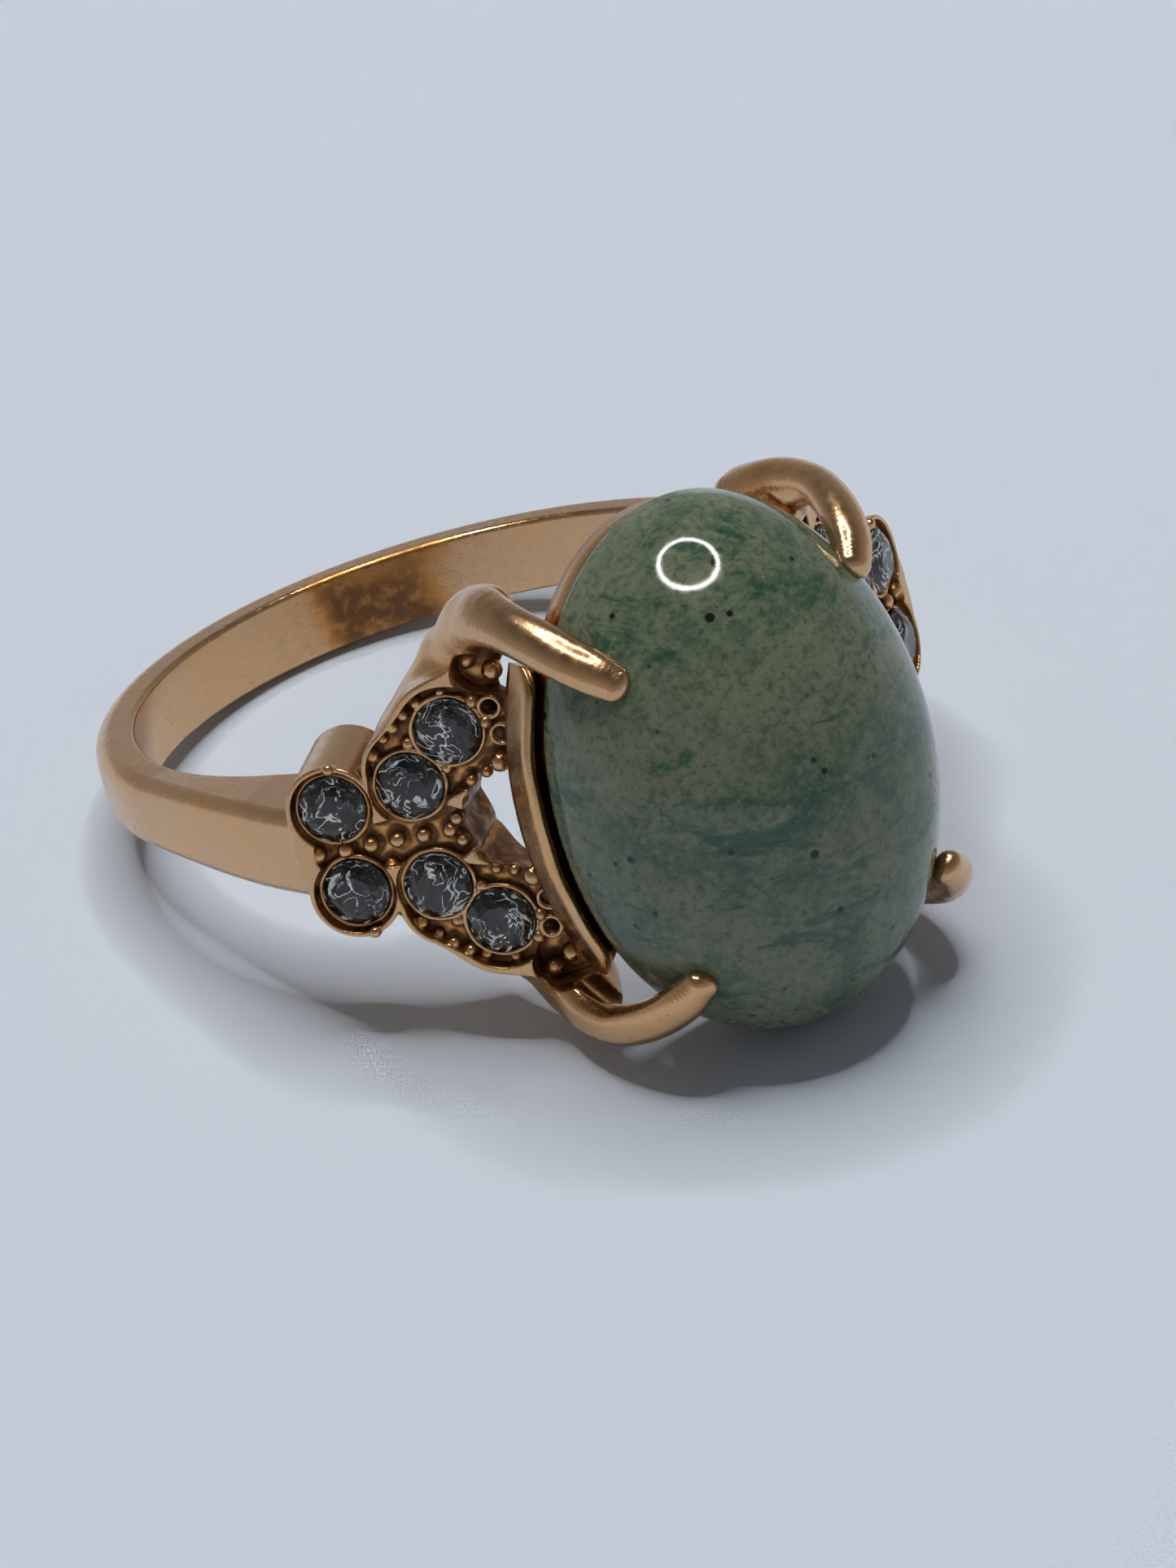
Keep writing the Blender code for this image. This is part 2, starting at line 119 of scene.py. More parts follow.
STONE_BACK = BORE_RADIUS + STONE_RISE
STONE_EDGE_TOP = STONE_BACK + STONE_EDGE
GALLERY_TOP = STONE_BACK + GALLERY_LIP
GALLERY_BOTTOM = GALLERY_TOP - GALLERY_HEIGHT
BAND_OUTER = BORE_RADIUS + BAND_THICKNESS
FACE_HEIGHT = BORE_RADIUS + FACE_RISE
CORNER_RADIUS = math.hypot(FACE_HEIGHT, FACE_START)
CORNER_ANGLE = FACE_TILT - math.degrees(math.atan2(FACE_START, FACE_HEIGHT))
TILT_SIN = math.sin(math.radians(FACE_TILT))
TILT_COS = math.cos(math.radians(FACE_TILT))
CLAW_AZIMUTH = math.atan2(
    STONE_LENGTH * math.sin(math.radians(CLAW_STONE_ANGLE)),
    STONE_WIDTH * math.cos(math.radians(CLAW_STONE_ANGLE)),
)

# ---- The lamp, in metres and degrees; its direction is in the ring's own axes
LAMP_DISTANCE = 0.5
LAMP_TUBE = 0.0035  # radius of the tube
LAMP_HALF_ANGLE = 17.0  # from the lamp's middle to its tube, seen from the ring
LAMP_DIRECTION = (0.055, 0.991, 0.126)
LAMP_STRENGTH = 104.0

# ---- The camera, in the ring's own axes
CAMERA_PLACE = (-102.26, 79.19, 217.62)
CAMERA_RIGHT = (0.82807, -0.25814, 0.49765)
CAMERA_DOWN = (-0.38221, -0.90935, 0.16428)
CAMERA_FORWARD = (0.41013, -0.32625, -0.85168)
CAMERA_LENS = 224.2  # for a 36 mm sensor

# Crystal centres on the face: (along it towards the stone, along the finger), mirrored below
OUTER = (-1.0, 1.13)
MIDDLE = (1.08, 1.35)
INNER = (2.40, 2.58)
DRILLED = ((3.72, 2.24), (3.60, 2.98))  # centres of two small holes beside the setting

# What shapes a shoulder, in the face's axes. A rod is (start, end, first radius, last radius)
SCALLOP = 1.17  # radius of the shoulder round its outer crystal
SPINE = ((-1.2, 0.3), (1.2, 0.3), 1.0, 1.2)
BRANCH_ROOT = ((1.20, 1.75), (2.45, 2.42), 1.22, 1.50)
BRANCH_END = ((2.45, 2.45), (3.9, 3.4), 1.48, 1.15)
ARM_ROOT = ((1.30, 2.30, 9.9), (2.70, 3.95, 9.95), 0.85, 0.82)
ARM_END = ((2.70, 3.95, 9.95), (3.55, 4.75, 10.55), 0.82, 0.85)
LANE = ((-1.25, 0.0), (1.75, 0.0), 0.50, 0.72)
MIDDLE_CUP = 1.02  # radius of the tray round the middle crystal
TRAY_ROOT = ((1.22, 1.77), (2.45, 2.42), 1.22 - RIM, 1.50 - RIM)
TRAY_END = ((2.45, 2.42), (3.45, 2.55), 1.50 - RIM, 1.0)
POCKET = ((3.52, 3.95), (4.70, 3.75), 0.62, 0.62)

# The gap between the branches: where it starts on the face, how its end slants, and its side
WINDOW_START = 2.05
WINDOW_SLANT = 0.52
WINDOW_SIDE = 1.42
# Painted shade, with some grime, darkens the gap's walls: how dark, and how far from them it
# reaches.
WINDOW_SHADE_AND_GRIME = 0.60  # how dark its walls are
SHADE_AND_GRIME_REACH = 0.25

# One claw: (distance from the ring's Z axis, height, radius), from its foot to its tip
CLAW_PATH = (
    (6.30, 10.30, 0.85),
    (6.78, 11.10, 0.74),
    (7.06, 11.90, 0.60),
    (7.10, 13.00, 0.50),
    (6.70, 14.20, 0.49),
    (6.09, 15.17, 0.46),
    (5.50, 15.72, 0.38),
)

# How far two of the claws' tips lean from the drawn place: (across, along the finger)
CLAW_LEAN = {(-1, 1): (0.0, -0.30), (1, -1): (0.30, 0.0)}
CLAW_LEAN_HEIGHT = 3.0  # the lean is whole this far over the claw's beginning


def ring_pose():
    """The ring's axes in the row frame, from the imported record's finger hole, in millimetres."""
    hole = next(mount for mount in frame["record"]["mounts"] if mount["name"] == "finger_hole")
    along = Vector(hole["axis"]).normalized()
    across = Vector((1.0, 0.0, 0.0))
    outwards = across.cross(along)
    turn = Matrix((across, along, outwards)).transposed().to_4x4()
    return Matrix.Translation(hole["pos_m"]) @ turn @ Matrix.Scale(MM, 4)


POSE = ring_pose()


# ---------------------------------------------------------------- distance fields


def length(vectors):
    return np.sqrt(np.einsum("...i,...i", vectors, vectors))


def union(first, second, soft=0.0):
    """Both shapes as one, with a fillet about as wide as soft where they meet."""
    if not soft:
        return np.minimum(first, second)
    near = np.maximum(soft - np.abs(first - second), 0.0) / soft
    return np.minimum(first, second) - near * near * soft / 4.0


def shared(first, second, soft=0.0):
    """What both shapes hold, with the new edges rounded."""
    return -union(-first, -second, soft)


def without(first, second, soft=0.0):
    """The first shape with the second one cut from it."""
    return -union(-first, second, soft)


def rod(points, start, end, first, last):
    """A rod between two points, in 2D or 3D, whose radius changes evenly."""
    start = np.asarray(start, np.float32)
    axis = np.asarray(end, np.float32) - start
    share = np.clip((points - start) @ axis / float(axis @ axis), 0.0, 1.0)
    return length(points - start - share[..., None] * axis) - (first + (last - first) * share)


def ball(points, centre, radius):
    return length(points - np.asarray(centre, np.float32)) - radius


def smooth_path(points, steps):
    """Catmull-Rom curve through the points, which may be of any size."""
    points = [np.asarray(point, np.float64) for point in points]
    ends = [2.0 * points[0] - points[1], *points, 2.0 * points[-1] - points[-2]]
    path = []
    for a, b, c, d in zip(ends, ends[1:], ends[2:], ends[3:]):
        for step in range(steps):
            t = step / steps
            bend = (2.0 * a - 5.0 * b + 4.0 * c - d) * t * t
            twist = (3.0 * b - a - 3.0 * c + d) * t * t * t
            path.append(0.5 * (2.0 * b + (c - a) * t + bend + twist))
    return [*path, points[-1]]


def ripple(points, wave, seed):
    """Smooth unevenness between -1 and 1, about wave millimetres from crest to crest."""
    turns = np.random.default_rng(seed).normal(size=(6, 3))
    total = np.zeros(points.shape[:-1], np.float32)
    for index, turn in enumerate(turns):
        direction = (turn / np.linalg.norm(turn) * 2.0 * math.pi / wave).astype(np.float32)
        total += np.sin(points @ direction + index * 1.7)
    return total / len(turns)


def oval_offset(points, half_x, half_y):
    """Distance outside an upright oval, close to exact near its edge."""
    x, y = points[..., 0], points[..., 1]
    share = np.sqrt((x / half_x) ** 2 + (y / half_y) ** 2) + 1e-6
    slope = np.sqrt((x / half_x**2) ** 2 + (y / half_y**2) ** 2) + 1e-6
    return (share - 1.0) * share / slope


def band_half(angle):
    """Half the band's width at an angle from Z."""
    widen = np.clip((SWELL_START - angle) / (SWELL_START - BAND_JOINT), 0.0, 1.0)
    return (BAND_WIDTH + (BAND_WIDTH_AT_SHOULDER - BAND_WIDTH) * widen) / 2.0


def band_outside(angle, across, half):
    """Radius of the band's outside, which is domed across its width."""
    swell = np.clip((SWELL_START - angle) / (SWELL_START - CORNER_ANGLE), 0.0, 1.0)
    return BAND_OUTER + (CORNER_RADIUS - BAND_OUTER) * swell**2 - BAND_CROWN * (across / half) ** 2


def band_field(points):
    """The hoop: flat inside, domed outside, thicker and wider towards the shoulders."""
    radius = np.hypot(points[..., 0], points[..., 2])
    angle = np.degrees(np.arctan2(np.abs(points[..., 0]), points[..., 2]))
    across = points[..., 1]
    half = band_half(angle)
    outer = band_outside(angle, across, half)
    middle = (outer + BORE_RADIUS) / 2.0
    corner = np.where(radius > middle, BAND_OUTER_ROUNDING, BAND_INNER_ROUNDING)
    over = np.abs(radius - middle) - (outer - BORE_RADIUS) / 2.0 + corner
    beside = np.abs(across) - half + corner
    outside = np.hypot(np.maximum(over, 0.0), np.maximum(beside, 0.0))
    return np.minimum(np.maximum(over, beside), 0.0) + outside - corner


def claw_field(points, side, level):
    """One claw: a flattened wire that leaves the shoulder and bends over the stone."""
    azimuth = CLAW_AZIMUTH * level
    cos, sin = math.cos(azimuth), math.sin(azimuth)
    x, y, z = points[..., 0], points[..., 1], points[..., 2]
    lean_x, lean_y = CLAW_LEAN.get((side, level), (0.0, 0.0))
    lift = np.clip((z - CLAW_CUT) / CLAW_LEAN_HEIGHT, 0.0, 1.0)
    x = x - lean_x * lift
    y = y - lean_y * lift
    turned = np.stack((x * cos + y * sin, (y * cos - x * sin) * CLAW_FLATTEN, z), axis=-1)
    path = smooth_path(CLAW_PATH, 7)
    distance = np.full(points.shape[:-1], FAR, np.float32)
    for start, end in zip(path, path[1:]):
        piece = rod(turned, (start[0], 0.0, start[1]), (end[0], 0.0, end[1]), start[2], end[2])
        distance = np.minimum(distance, piece)
    return distance


def on_face(points):
    """Points of a shoulder as (along the face, along the finger, height over the bore's axis)."""
    x, y, z = np.abs(points[..., 0]), points[..., 1], points[..., 2]
    return np.stack((z * TILT_SIN - x * TILT_COS, y, x * TILT_SIN + z * TILT_COS), axis=-1)


def mirrored(face):
    """The same points with the lower branch folded onto the upper one."""
    return np.stack((face[..., 0], np.abs(face[..., 1]), face[..., 2]), axis=-1)


def outline(plan):
    """The shoulder seen square to its face: two scallops that end in an arm."""
    shape = union(ball(plan, OUTER, SCALLOP), rod(plan, *SPINE), 0.1)
    branch = union(rod(plan, *BRANCH_ROOT), rod(plan, *BRANCH_END), 0.3)
    return union(shape, branch, 0.08)


def window(plan):
    """The gap between the two branches, which opens towards the stone."""
    split = WINDOW_START + WINDOW_SLANT * plan[..., 1] - plan[..., 0]
    return shared(split / math.hypot(1.0, WINDOW_SLANT), plan[..., 1] - WINDOW_SIDE, 0.5)


def tray(plan):
    """The sunk floor of the pavement, inside its rim."""
    shape = union(ball(plan, OUTER, SCALLOP - RIM), rod(plan, *LANE), 0.1)
    shape = union(shape, ball(plan, MIDDLE, MIDDLE_CUP), 0.05)
    for branch in (TRAY_ROOT, TRAY_END):
        shape = union(shape, rod(plan, *branch), 0.05)
    return shape


def seat(face, centre):
    """The hole that a crystal sits in: straight to its girdle, then a cone."""
    below = FACE_HEIGHT - CRYSTAL_SINK - face[..., 2]
    radius = CRYSTAL_DIAMETER / 2.0 + 0.02
    away = ball(face[..., :2], centre, radius)
    cone = (away + below * radius / (CRYSTAL_DEPTH + 0.15)) * 0.7
    return np.maximum(away, cone)


def grain_places():
    """(along the face, along the finger, radius, depth) of the cast grains, mirrored below."""
    sunk = TRAY_DEPTH - 0.10
    places = [(along, 0.0, 0.21, 0.24) for along in np.arange(-1.68, 1.9, 0.69)]
    places += [(2.02, 0.30, 0.18, 0.22), (2.27, 0.82, 0.19, 0.22), (2.66, 1.20, 0.17, 0.24)]
    places += [(3.08, 1.34, 0.17, 0.24), (3.52, 1.55, 0.26, 0.16), (3.42, 2.62, 0.17, 0.22)]
    places += [(0.06, 0.62, 0.17, sunk), (0.02, 1.92, 0.17, sunk), (0.36, 2.28, 0.19, sunk)]
    places += [(0.74, 2.66, 0.15, sunk), (1.06, 2.94, 0.18, 0.22), (1.42, 3.20, 0.14, 0.20)]
    places += [(1.30, 2.40, 0.18, sunk), (2.10, 1.60, 0.18, sunk), (3.20, 3.20, 0.18, 0.26)]
    places += [(1.78, 3.42, 0.17, sunk), (2.50, 3.62, 0.14, 0.26), (-0.78, 2.22, 0.15, 0.02)]
    pocket = [(3.27, 4.20, 0.25, 0.62), (3.86, 3.84, 0.27, 0.50), (4.44, 3.50, 0.25, 0.36)]
    return places + pocket


def unopened(points):
    """How far the hollows are filled in: only at the upper claw of the right shoulder."""
    return np.where((points[..., 0] > 0.0) & (points[..., 1] > 0.0), 0.4, 0.0)


def moat(points):
    """The clear space between the stone's setting and the claws, with a round bottom."""
    away = oval_offset(points, STONE_WIDTH / 2.0 + MOAT_INSET, STONE_LENGTH / 2.0 + MOAT_INSET)
    depth = np.maximum(MOAT_BOTTOM + MOAT_WIDTH / 2.0 - points[..., 2], 0.0)
    groove = np.hypot(away - MOAT_WIDTH / 2.0, depth) - MOAT_WIDTH / 2.0 + unopened(points)
    inside = np.maximum(away - MOAT_WIDTH / 4.0, GALLERY_BOTTOM - METAL_GAP - points[..., 2])
    groove = shared(union(groove, inside), points[..., 2] - MOAT_TOP, 0.5)
    return np.maximum(groove, MOAT_START - np.abs(points[..., 1]))


def hollows(face):
    """Small drilled holes and the open pocket between the crystals, the arm and the claw."""
    plan, height = face[..., :2], face[..., 2]
    hollow = np.maximum(rod(plan, *POCKET), FACE_HEIGHT - POCKET_DEPTH - height)
    for centre in DRILLED:
        hole = np.maximum(ball(plan, centre, HOLE_RADIUS), FACE_HEIGHT - HOLE_DEPTH - height)
        hollow = union(hollow, hole)
    return hollow


def where(chosen, shape, points, *rest):
    """The shape's distances at the chosen points, and far away elsewhere."""
    distance = np.full(chosen.shape, FAR, np.float32)
    if chosen.any():
        distance[chosen] = shape(points[chosen], *rest)
    return distance


def claws_field(points, side):
    """Both claws of a shoulder, measured only where a claw can be."""
    x, y, z = np.abs(points[..., 0]), points[..., 1], points[..., 2]
    folded = np.stack((x, y, z), axis=-1)
    near = (np.hypot(x, np.abs(y)) > 4.6) & (np.abs(y) > 2.6) & (z > 9.0)
    upper = where(near & (y > 0.0), claw_field, folded, side, 1)
    return np.minimum(upper, where(near & (y < 0.0), claw_field, folded, side, -1))


def grains_field(face):
    """The cast grains, and the thin raised ring round each crystal and each drilled hole."""
    distance = np.full(face.shape[:-1], FAR, np.float32)
    for along, finger, size, depth in grain_places():
        distance = np.minimum(distance, ball(face, (along, finger, FACE_HEIGHT - depth), size))
    around = CRYSTAL_DIAMETER / 2.0 + RING_TUBE
    rings = [(centre, around, CRYSTAL_SINK + 0.10) for centre in (OUTER, MIDDLE, INNER)]
    rings += [(centre, HOLE_RADIUS + 0.06, 0.22) for centre in DRILLED]
    for centre, radius, depth in rings:
        ring = np.hypot(ball(face[..., :2], centre, radius), face[..., 2] - FACE_HEIGHT + depth)
        distance = np.minimum(distance, ring - RING_TUBE)
    return distance


def shoulder_field(points, side):
    """One shoulder with both its claws and the end of the band."""
    face = mirrored(on_face(points))
    plan, height = face[..., :2], face[..., 2]
    radius = np.hypot(points[..., 0], points[..., 2])
    body = shared(outline(plan), height - FACE_HEIGHT, 0.07)
    arm = union(rod(face, *ARM_ROOT), rod(face, *ARM_END), 0.3)
    body = union(body, arm, 0.35)
    body = without(body, window(plan) + 0.05 * ripple(points, 0.8, 3), 0.16)
    below = points[..., 2] - (GALLERY_BOTTOM - METAL_GAP)
    end = np.maximum(SHOULDER_END - np.abs(points[..., 0]), below)
    body = shared(body, end, 0.12)
    body = union(body, claws_field(points, side), 0.45)
    body = without(body, moat(points), 0.12)
    stub = shared(band_field(points), face[..., 0] - STUB_END, 0.1)
    body = union(body, shared(stub, height - FACE_HEIGHT + 0.03, 0.1), 0.14)
    paved = height > FACE_HEIGHT - PAVED_DEPTH
    body[paved] = pavement_cut(body[paved], face[paved], points[paved])
    return shared(body, BORE_RADIUS - radius, 0.12)


def pavement_cut(body, face, points):
    """The body with the sunk tray, the crystals' seats, the grains and the hollows in its face."""
    plan, height = face[..., :2], face[..., 2]
    rough = 0.045 * ripple(points, 0.9, 1) + 0.03 * ripple(points, 0.42, 2)
    body = without(body, hollows(face) + unopened(points), 0.06)
    floor = FACE_HEIGHT - TRAY_DEPTH - height + rough
    body = without(body, shared(tray(plan), floor, 0.05), 0.05)
    for centre in (OUTER, MIDDLE, INNER):
        body = without(body, seat(face, centre), 0.03)
    return union(body, grains_field(face) + 0.5 * rough, 0.09)


# ---------------------------------------------------------------- meshes from fields


def surface_of(field, low, high, voxel):
    """Points and quads of a field's surface in a box, read finely only near the surface."""
    low = np.asarray(low, np.float32)
    blocks = np.ceil((np.asarray(high, np.float32) - low) / (voxel * BLOCK)).astype(int)
    middles = (np.indices(blocks).reshape(3, -1).T * BLOCK + (BLOCK - 1) / 2.0) * voxel
    values = field(low + middles.astype(np.float32)).reshape(blocks).astype(np.float32)
    for axis in range(3):
        values = values.repeat(BLOCK, axis)
    near = np.abs(values) < voxel * BLOCK * 1.3
    places = np.argwhere(near).astype(np.float32)
    values[near] = field(low + places * voxel)
    grid = openvdb.FloatGrid()
    grid.copyFromArray(values)
    points, quads = grid.convertToQuads(isovalue=0.0)
    return low + points * voxel, quads


def slope(field, points, step=0.006):
    """The field's gradient, by central differences."""
    parts = []
    for axis in np.eye(3, dtype=np.float32) * step:
        parts.append((field(points + axis) - field(points - axis)) / (2.0 * step))
    return np.stack(parts, axis=-1)


def settle(field, points):
    """Points moved onto the field's surface."""
    rise = slope(field, points)
    steepness = np.maximum(np.einsum("...i,...i", rise, rise), LEAST_SLOPE)
    move = (field(points) / steepness)[..., None] * rise
    return (points - np.clip(move, -MOST_SETTLING, MOST_SETTLING)).astype(np.float32)


def trimmed(points, faces, planes):
    """A bmesh of the faces, cut off in front of each plane (point, normal) and closed there."""
    mesh = bpy.data.meshes.new("trimming")
    mesh.from_pydata(points.tolist(), [], faces.tolist())
    shape = bmesh.new()
    shape.from_mesh(mesh)
    bpy.data.meshes.remove(mesh)
    cap = shape.faces.layers.int.new("cap")
    for place, normal in planes:
        parts = [*shape.verts, *shape.edges, *shape.faces]
        found = bmesh.ops.bisect_plane(
            shape, geom=parts, dist=1e-5, plane_co=place, plane_no=normal, clear_outer=True
        )
        edges = [e for e in found["geom_cut"] if isinstance(e, bmesh.types.BMEdge)]
        edges = [e for e in edges if e.is_valid and e.is_boundary]
        if edges:
            filled = bmesh.ops.triangle_fill(shape, edges=edges, use_beauty=False, normal=normal)
            for part in filled["geom"]:
                if isinstance(part, bmesh.types.BMFace):
                    part[cap] = 1
    loose = [vert for vert in shape.verts if not vert.link_faces]
    bmesh.ops.delete(shape, geom=loose, context="VERTS")
    return shape


def recess_of(field, points, normals):
    """0 on open metal and 1 deep in a corner, from how soon a step outwards meets metal; it places
    painted shade and grime.
    """
    total = np.zeros(len(points), np.float32)
    for step in (0.15, 0.35, 0.7):
        total += 1.0 - field(points + normals * step) / step
    return np.clip(total / 3.0, 0.0, 1.0)


def finish_mesh(name, shape, field, material, stain_and_shade=None):
    """A placed piece: normals and a mask of painted shade and grime in the recesses come from the
    field, and flat caps stay flat.
    """
    mesh = bpy.data.meshes.new(name)
    bmesh.ops.recalc_face_normals(shape, faces=shape.faces)
    shape.to_mesh(mesh)
    shape.free()
    points = np.empty(len(mesh.vertices) * 3, np.float32)
    mesh.vertices.foreach_get("co", points)
    points = points.reshape(-1, 3)
    rise = slope(field, points)
    normals = rise / np.maximum(length(rise), 1e-6)[:, None]
    shade_and_grime_mask = recess_of(field, points, normals)
    # Painted shade and stains given for this piece raise the mask.
    if stain_and_shade:
        shade_and_grime_mask = np.maximum(shade_and_grime_mask, stain_and_shade(points))
    mesh.attributes.new("shade_and_grime_mask", "FLOAT", "POINT").data.foreach_set("value", shade_and_grime_mask)
    corners = np.empty(len(mesh.loops), np.int32)
    mesh.loops.foreach_get("vertex_index", corners)
    caps = np.zeros(len(mesh.polygons), np.int32)
    mesh.attributes["cap"].data.foreach_get("value", caps)
    sizes = np.empty(len(mesh.polygons), np.int32)
    mesh.polygons.foreach_get("loop_total", sizes)
    flat = np.empty(len(mesh.polygons) * 3, np.float32)
    mesh.polygons.foreach_get("normal", flat)
    flat = np.repeat(flat.reshape(-1, 3), sizes, axis=0)
    by_corner = np.where(np.repeat(caps, sizes)[:, None] == 1, flat, normals[corners])
    turn = np.array(POSE.to_3x3().normalized(), np.float32)
    mesh.transform(POSE)
    mesh.shade_smooth()
    mesh.normals_split_custom_set((by_corner @ turn.T).tolist())
    return place_piece(name, mesh, material)


def place_piece(name, mesh, *materials):
    """The mesh as a piece of the ring's one body."""
    piece = bpy.data.objects.new(name, mesh)
    bpy.context.scene.collection.objects.link(piece)
    for material in materials:
        mesh.materials.append(material)
    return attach(piece, BODY)


def mesh_of(name, shape):
    """A mesh from a bmesh, which is used up, with its faces turned outwards."""
    bmesh.ops.recalc_face_normals(shape, faces=shape.faces)
    mesh = bpy.data.meshes.new(name)
    shape.to_mesh(mesh)
    shape.free()
    return mesh


def smoothed(mesh, crease):
    """The mesh in the row frame, smooth except where it turns by more than crease degrees."""
    mesh.transform(POSE)
    mesh.shade_smooth()
    mesh.set_sharp_from_angle(angle=math.radians(crease))
    return mesh


def cast_piece(name, field, box, voxel, planes, material, stain_and_shade=None):
    """The part of a field in a box (low, high), trimmed by planes."""
    points, quads = surface_of(field, *box, voxel)
    shape = trimmed(settle(field, points), quads, planes)
    return finish_mesh(name, shape, field, material, stain_and_shade)


def stands_for(piece, slot, *nodes):
    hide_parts(*nodes)


# ---------------------------------------------------------------- metal pieces


def joint_plane(side):
    """The plane through the finger's axis where the band is joined to a shoulder."""
    angle = math.radians(BAND_JOINT)
    return (0.0, 0.0, 0.0), (math.cos(angle) * side, 0.0, -math.sin(angle))


def face_plane(side, height, facing):
    normal = Vector((TILT_SIN * side, 0.0, TILT_COS))
    return normal * height, normal * facing


def window_shade_and_grime(points):
    """Painted shade, with some grime, on the walls of the gap between a shoulder's branches."""
    face = mirrored(on_face(points))
    near = np.clip(1.0 - np.abs(window(face[..., :2])) / SHADE_AND_GRIME_REACH, 0.0, 1.0)
    inside = face[..., 2] < FACE_HEIGHT - 0.08
    return WINDOW_SHADE_AND_GRIME * near * inside * (1.0 + 0.3 * ripple(points, 0.7, 4))


def make_shoulder(side, label, material):
    """A shoulder, its pavement and its two claws, all from one field."""

    def field(points):
        return shoulder_field(points, side)

    near, far = (3.2, 10.6) if side > 0 else (-10.6, -3.2)
    top = (0.0, 0.0, CLAW_CUT)
    below_claws = (top, (0.0, 0.0, 1.0))
    box = (near, -6.3, 3.6), (far, 6.3, 12.3)
    planes = [joint_plane(side), below_claws, face_plane(side, PAVE_CUT, 1.0)]
    name = f"{label}_shoulder"
    shoulder = cast_piece(name, field, box, CAST_VOXEL, planes, material, window_shade_and_grime)
    stands_for(shoulder, "rose_gold", name)
    box = (near, -6.3, 6.0), (far, 6.3, 12.3)
    planes = [below_claws, face_plane(side, PAVE_CUT, -1.0)]
    name = f"{label}_pavement"
    pavement = cast_piece(name, field, box, FINE_VOXEL, planes, material, window_shade_and_grime)
    for level, word in ((1, "upper"), (-1, "lower")):
        low = (3.0 if side > 0 else -6.6, 2.4 if level > 0 else -6.8, 11.6)
        box = low, (low[0] + 3.6, low[1] + 4.4, 16.6)
        name = f"claw_{label}_{word}"
        claw = cast_piece(name, field, box, CAST_VOXEL, [(top, (0.0, 0.0, -1.0))], material)
        stands_for(claw, "rose_gold", name)


def band_section(angle):
    """(radius, across) round the band at an angle from Z, all on band_field's surface."""
    half = band_half(angle)
    high = half - BAND_OUTER_ROUNDING
    outside = [(band_outside(angle, y, half), y) for y in np.linspace(-high, high, 15)]
    turns = np.radians(np.linspace(0.0, 90.0, 9))
    corner = []
    for turn in turns[1:]:
        y = high + BAND_OUTER_ROUNDING * math.sin(turn)
        drop = BAND_OUTER_ROUNDING * (1.0 - math.cos(turn))
        corner.append((band_outside(angle, y, half) - drop, y))
    side = list(np.linspace(corner[-1][0], BORE_RADIUS + BAND_INNER_ROUNDING, 4)[1:-1])
    corner += [(radius, half) for radius in side]
    for turn in turns[::2]:
        y = half - BAND_INNER_ROUNDING * (1.0 - math.cos(turn))
        corner.append((BORE_RADIUS + BAND_INNER_ROUNDING * (1.0 - math.sin(turn)), y))
    inside = [(BORE_RADIUS, y) for y in np.linspace(corner[-1][1], -corner[-1][1], 13)[1:-1]]
    return [*outside, *corner, *inside, *[(radius, -y) for radius, y in reversed(corner)]]


def tarnish(points):
    """Where the hoop's inside has darkened, behind the stone."""
    angle = np.degrees(np.arctan2(points[:, 0], points[:, 2]))
    radius = np.hypot(points[:, 0], points[:, 2])
    # In degrees from Z, it darkens from 142 to 158 and fades from 172 to the hoop's back
    patch = np.clip((angle - 142.0) / 16.0, 0.0, 1.0) * np.clip((186.0 - angle) / 14.0, 0.0, 1.0)
    inside = radius < BORE_RADIUS + 0.1
    return np.clip(patch * inside * (0.46 + 0.22 * ripple(points, 2.4, 5)), 0.0, 1.0)


def make_band(material):
    shape = bmesh.new()
    cap = shape.faces.layers.int.new("cap")
    rings = []
    for turn in np.linspace(BAND_JOINT, 360.0 - BAND_JOINT, 360):
        section = band_section(min(turn, 360.0 - turn))
        sin, cos = math.sin(math.radians(turn)), math.cos(math.radians(turn))
        rings.append([shape.verts.new((radius * sin, y, radius * cos)) for radius, y in section])
    bridge(shape, rings)
    for ring in (rings[0], rings[-1]):
        shape.faces.new(ring)[cap] = 1
    band = finish_mesh("band", shape, band_field, material, tarnish)
    stands_for(band, "rose_gold", "band")


def bridge(shape, rings):
    """Quads between each ring of points and the next."""
    for ring, following in zip(rings, rings[1:]):
        for i in range(len(ring)):
            j = (i + 1) % len(ring)
            shape.faces.new((ring[i], ring[j], following[j], following[i]))


def oval_ring(shape, turn, section):
    """A section, as (outwards, height) points, standing on the stone's edge at one turn."""
    half_x, half_y = STONE_WIDTH / 2.0, STONE_LENGTH / 2.0
    edge = Vector((half_x * math.cos(turn), half_y * math.sin(turn)))
    normal = Vector((math.cos(turn) / half_x, math.sin(turn) / half_y)).normalized()
    places = [(*(edge + normal * out), height) for out, height in section]
    return [shape.verts.new(place) for place in places]


